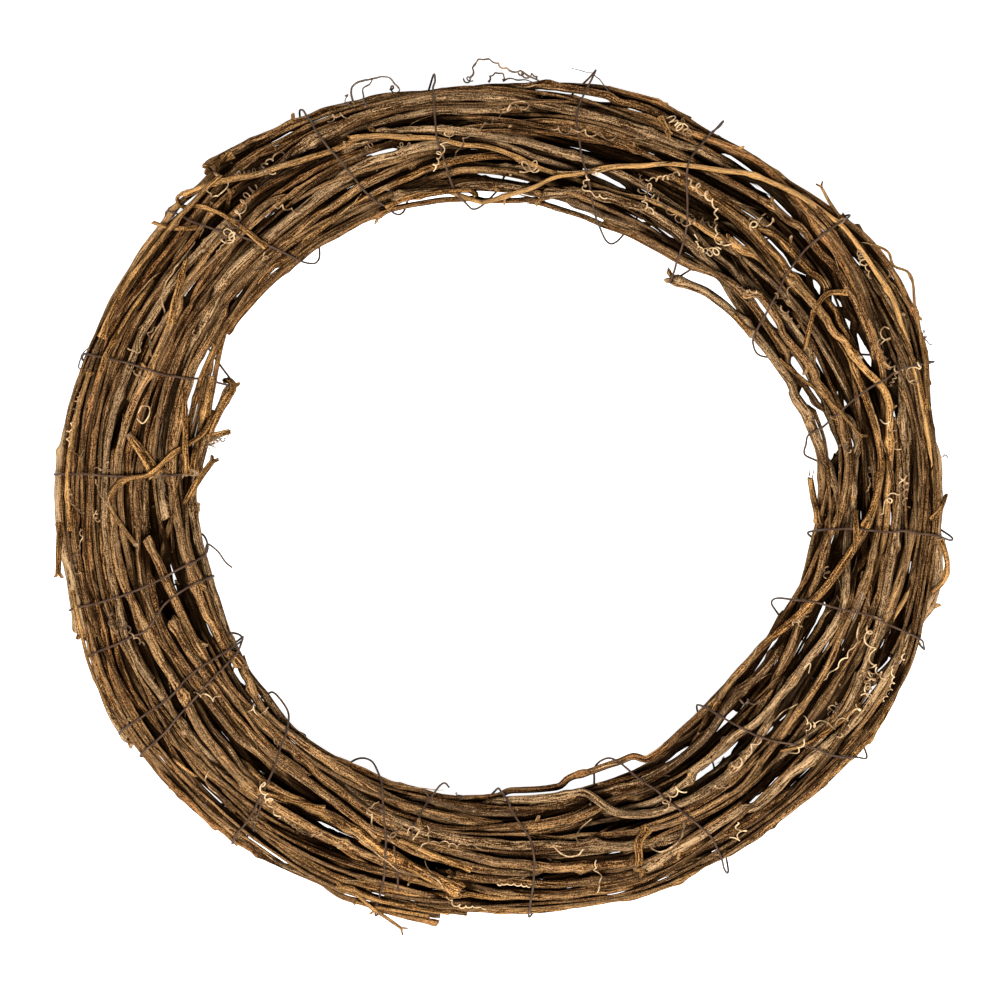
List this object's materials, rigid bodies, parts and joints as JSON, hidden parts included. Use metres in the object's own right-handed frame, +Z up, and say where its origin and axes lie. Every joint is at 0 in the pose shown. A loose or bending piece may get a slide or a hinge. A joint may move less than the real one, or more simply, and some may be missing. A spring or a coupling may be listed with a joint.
{
  "type": "vine wreath",
  "caption": "Round wreath of dried vine canes laid side by side and bound with thin wire, with cut ends, side shoots and curled tendrils; it lies face up.",
  "frame": {"origin": "middle of the wreath's bounding box in plan, on the surface that the wreath lies on", "axes": "+Z up through the hole, out of the face that shows in the picture; +X towards the picture's right and +Y towards its top"},
  "size_m": [0.3648, 0.3494, 0.0515],
  "materials": {
    "bark_grey": "weathered grey-brown bark, dry and matt, with lengthwise furrows",
    "bark_brown": "mid-brown dry bark with shreds peeling lengthwise",
    "bark_red": "smooth reddish-brown bark of young canes",
    "bark_tan": "orange-tan cane with most of its bark gone",
    "binding_wire": "dark annealed binding wire, dull, with a few bright scratches"
  },
  "bodies": {
    "root": {"face_cane_01": "bark_grey", "face_cane_02": "bark_grey", "face_cane_03": "bark_tan", "face_cane_04": "bark_brown", "face_cane_05": "bark_brown", "face_cane_06": "bark_red", "face_cane_07": "bark_red", "face_cane_08": "bark_red", "face_cane_09": "bark_tan", "face_cane_10": "bark_grey", "face_cane_11": "bark_brown", "face_cane_12": "bark_red", "face_cane_13": "bark_brown", "face_cane_14": "bark_brown", "face_cane_15": "bark_tan", "face_cane_16": "bark_red", "face_cane_17": "bark_grey", "face_cane_18": "bark_brown", "face_cane_19": "bark_grey", "face_cane_20": "bark_tan", "face_cane_21": "bark_red", "face_cane_22": "bark_grey", "face_cane_23": "bark_grey", "face_cane_24": "bark_brown", "face_cane_25": "bark_tan", "face_cane_26": "bark_brown", "face_cane_27": "bark_brown", "face_cane_28": "bark_grey", "face_cane_29": "bark_tan", "face_cane_30": "bark_brown", "face_cane_31": "bark_brown", "face_cane_32": "bark_red", "face_cane_33": "bark_grey", "face_cane_34": "bark_grey", "face_cane_35": "bark_brown", "face_cane_36": "bark_grey", "face_cane_37": "bark_brown", "face_cane_38": "bark_tan", "face_cane_39": "bark_brown", "face_cane_40": "bark_tan", "face_cane_41": "bark_grey", "face_cane_42": "bark_grey", "face_cane_43": "bark_grey", "face_cane_44": "bark_tan", "body_cane_01": "bark_brown", "body_cane_02": "bark_grey", "body_cane_03": "bark_tan", "body_cane_04": "bark_brown", "body_cane_05": "bark_red", "body_cane_06": "bark_grey", "body_cane_07": "bark_brown", "body_cane_08": "bark_tan", "body_cane_09": "bark_brown", "body_cane_10": "bark_grey", "body_cane_11": "bark_brown", "body_cane_12": "bark_grey", "body_cane_13": "bark_brown", "body_cane_14": "bark_red", "binding_wire": "binding_wire"}
  },
  "joints": []
}
